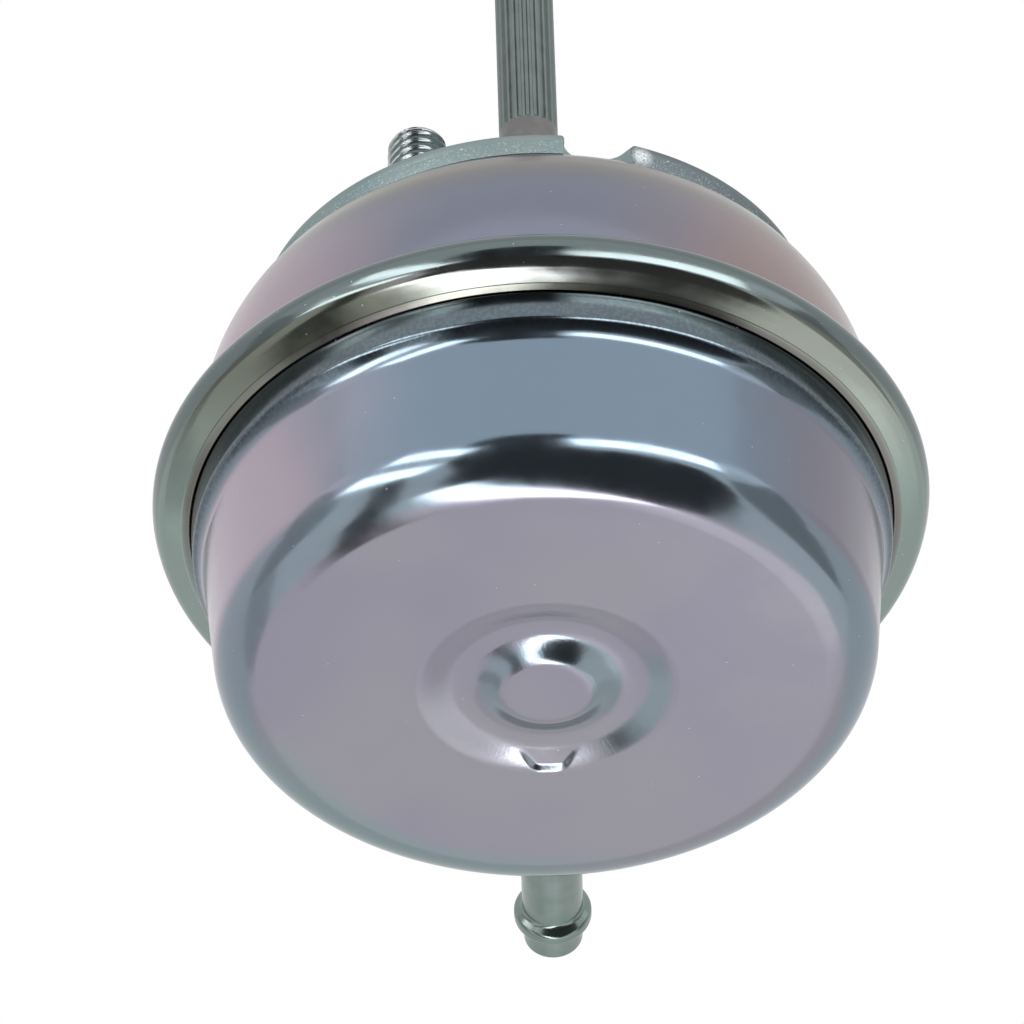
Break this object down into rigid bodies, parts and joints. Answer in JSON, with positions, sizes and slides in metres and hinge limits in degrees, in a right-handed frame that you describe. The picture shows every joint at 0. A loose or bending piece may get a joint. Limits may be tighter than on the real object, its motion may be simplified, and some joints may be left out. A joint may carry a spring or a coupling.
{
  "type": "turbo actuator",
  "caption": "Round vacuum canister actuator: crimped two-part steel can, studded mounting plate, side hose nipple and a sprung ribbed push rod with an eye end.",
  "frame": {"origin": "centre of the mounting plate's top face, on the rod's axis", "axes": "+Z along the push rod, out of the can; +Y along the hose nipple"},
  "size_m": [0.0762, 0.0917, 0.1274],
  "materials": {
    "zinc_can": "deep-drawn steel, bright zinc with a clear iridescent passivate",
    "zinc_plate": "sheared steel plate, zinc plated, satin",
    "plated_fastener": "rolled thread steel, dark zinc nickel",
    "nipple_steel": "turned steel, bright zinc plated",
    "rod_steel": "cold drawn steel, phosphated, dull",
    "forged_steel": "forged steel, zinc plated, satin",
    "turned_steel": "turned steel, zinc plated",
    "pressed_steel": "pressed steel sheet, oiled",
    "spring_steel": "shot-peened spring wire",
    "sintered_bronze": "oiled sintered bronze",
    "diaphragm_rubber": "fabric-backed rubber, matt",
    "bumper_rubber": "moulded rubber, matt",
    "felt": "oiled felt"
  },
  "bodies": {
    "canister": {"lower_can": "zinc_can", "upper_can": "zinc_can", "vacuum_nipple": "nipple_steel", "mounting_plate": "zinc_plate", "mounting_studs": "plated_fastener", "guide_housing": "turned_steel", "guide_bush": "sintered_bronze", "wiper_seal": "felt", "wiper_retainer": "pressed_steel", "spring_seat": "pressed_steel", "return_spring": "spring_steel", "diaphragm": "diaphragm_rubber"},
    "rod": {"piston_cup": "pressed_steel", "diaphragm_plate": "pressed_steel", "stop_bumper": "bumper_rubber", "clamp_washer": "turned_steel", "lock_washer": "spring_steel", "piston_nut": "plated_fastener", "push_rod": "rod_steel", "rod_end": "forged_steel", "eye_bush": "sintered_bronze"}
  },
  "joints": [
    {"name": "rod_slide", "type": "slide", "parent": "canister", "child": "rod", "axis": [0, 0, 1], "range_m": [-0.015, 0], "stiffness_N_per_m": 3330, "springref_m": 0.0106, "deforming": ["return_spring", "diaphragm"]}
  ]
}
